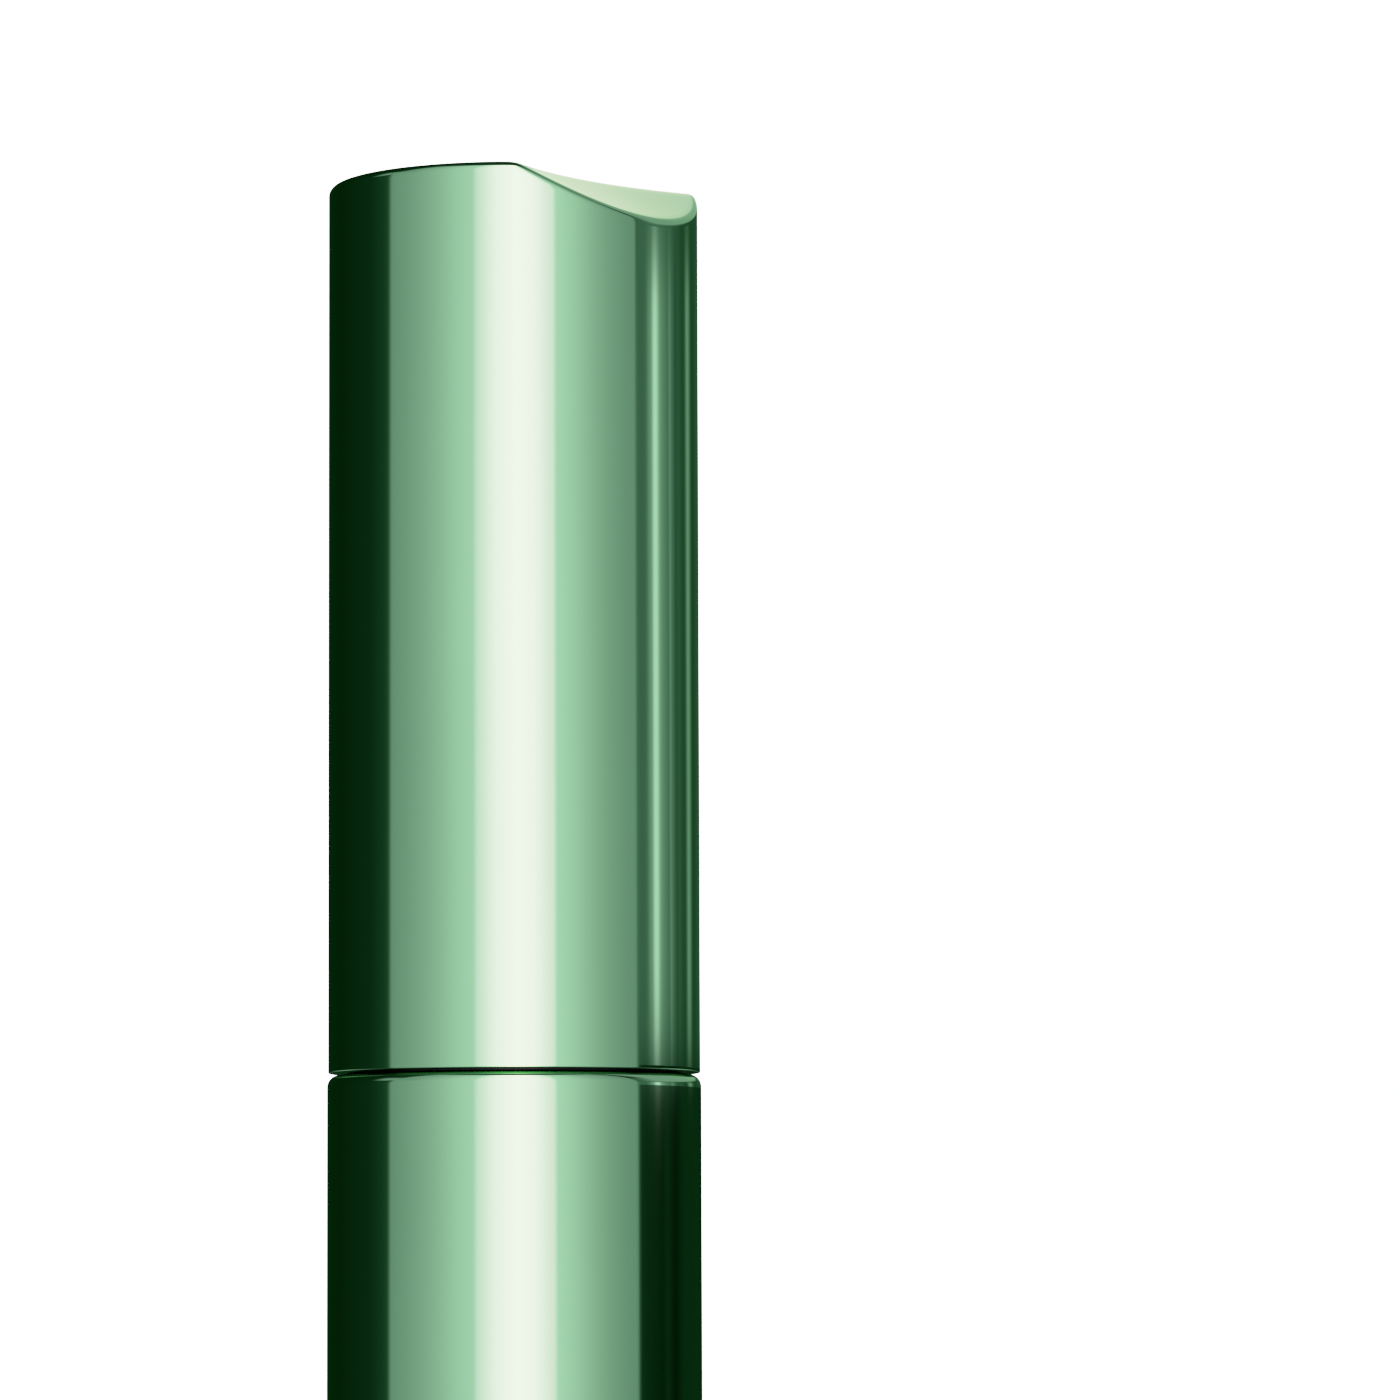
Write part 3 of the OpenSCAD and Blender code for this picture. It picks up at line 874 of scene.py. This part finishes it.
def fibres(rng):
    """Single fibres: thin, straight and stiff, in loose tufts whose tips lean together."""
    count = TUFTS * FIBRES_PER_TUFT
    tuft_t = np.sort(rng.uniform(0.0, LAST_ROOT, TUFTS))
    tuft_angle = helix_angle(rng, tuft_t, TUFT_SPREAD)
    t = np.repeat(tuft_t, FIBRES_PER_TUFT) + rng.normal(0, ROOT_SPREAD, count)
    t = np.clip(t, 0, 1.005)
    angle = np.repeat(tuft_angle, FIBRES_PER_TUFT) + rng.normal(0, ROUND_SPREAD, count)
    along, out = outwards(t, angle)
    lean = np.repeat(rng.normal(0, TUFT_LEAN_SPREAD, TUFTS), FIBRES_PER_TUFT)
    lean = lean + rng.normal(0, FIBRE_LEAN_SPREAD, count)
    out = leaned(out, along, lean + np.interp(t, *FIBRE_LEAN))
    length = fibre_reach(t, angle) * np.repeat(rng.uniform(*TUFT_LENGTHS, TUFTS), FIBRES_PER_TUFT)
    length *= rng.uniform(*FIBRE_LENGTHS, count)
    sag = rng.normal(0, FIBRE_SAG, count)
    paths = curved(brush_line(t), out, along, length, sag, FIBRE_RINGS)
    taper = np.linspace(*FIBRE_R, FIBRE_RINGS)[None, :] * MM
    width = taper * rng.uniform(*FIBRE_WIDTHS, (count, 1))
    mesh = spikes("brush_fibres", paths, np.cross(along, out), width, width, FIBRE_SIDES)
    return add_piece("brush_fibres", mesh, BRISTLE, "cap", "bristle", "bristles")


def clumps(rng):
    """Blades of paste that hold a few fibres together, ragged along their edges."""
    shape = (CLUMPS, CLUMP_RINGS)
    t = np.sort(rng.uniform(0.0, LAST_ROOT, CLUMPS))
    angle = helix_angle(rng, t, CLUMP_SPREAD)
    along, out = outwards(t, angle)
    lean = rng.normal(0, CLUMP_LEAN_SPREAD, CLUMPS) + np.interp(t, *CLUMP_LEAN)
    out = leaned(out, along, lean)
    length = fibre_reach(t, angle) * rng.uniform(*CLUMP_LENGTHS, CLUMPS)
    sag = rng.normal(0, CLUMP_SAG, CLUMPS)
    paths = curved(brush_line(t), out, along, length, sag, CLUMP_RINGS)
    paths += along[:, None] * rng.normal(0, CLUMP_SHAKE, (*shape, 1))
    taper = np.interp(np.linspace(0, 1, CLUMP_RINGS), *CLUMP_TAPER)
    ragged = rng.uniform(*CLUMP_EDGES, shape)
    size = rng.uniform(*CLUMP_WIDTHS, (CLUMPS, 1))
    wide = taper * ragged * size * MM
    thin = (taper * CLUMP_FLATNESS + CLUMP_LEAST) * rng.uniform(*CLUMP_THICKNESSES, shape) * MM
    mesh = spikes("brush_clumps", paths, along, wide, thin, CLUMP_SIDES)
    return add_piece("brush_clumps", mesh, FORMULA, "cap", "formula")


def waves(kind, spot):
    depth, per_mm = kind
    return depth * noise.noise(spot * per_mm)


def lumpy(base, spot):
    """The radius of the paste at a spot where it would be base thick: lumps, and finer grain."""
    depth, per_mm = LUMPS
    lump = waves(SWELL, spot) + depth * max(0, noise.noise(spot * per_mm)) ** LUMP_POWER
    grain = waves(GRAIN, spot) + waves(FINE_GRAIN, spot)
    return max(THINNEST, base * (1 + RELIEF * lump) + grain * min(1, base))


def paste_core():
    """The paste round the wires: a lumpy sleeve along the centre line."""
    places = np.linspace(PASTE_FROM, PASTE_TO, PASTE_ROWS)
    _, firsts, seconds = brush_frame(places)
    rings = []
    for t, first, second, centre in zip(places, firsts, seconds, brush_line(places)):
        base = float(np.interp(t, *PASTE))
        ring = []
        for k in range(PASTE_SIDES):
            a = TAU * k / PASTE_SIDES
            out = Vector(first * math.cos(a) + second * math.sin(a))
            radius = lumpy(base, (Vector(centre) + out * base * MM) / MM)
            ring.append(tuple(Vector(centre) + out * radius * MM))
        rings.append(ring)
    mesh = rings_mesh("brush_paste", rings, closed=False)
    close_ends(mesh)
    return add_piece("brush_paste", mesh, FORMULA, "cap", "formula")


make_camera()
make_world()
make_floor()
make_lights()
set_tone()

coat_inside(WIPER_PLASTIC, PASTE_COLOUR, COATED_R, COATED_Z, CLEAN_Z)
for cad_node, finish in FINISHES.items():
    dress(cad_node, finish)

cap_cover()
bottle_sleeve()
draws = np.random.default_rng(BRUSH_SEED)
fibres(draws)
clumps(draws)
paste_core()
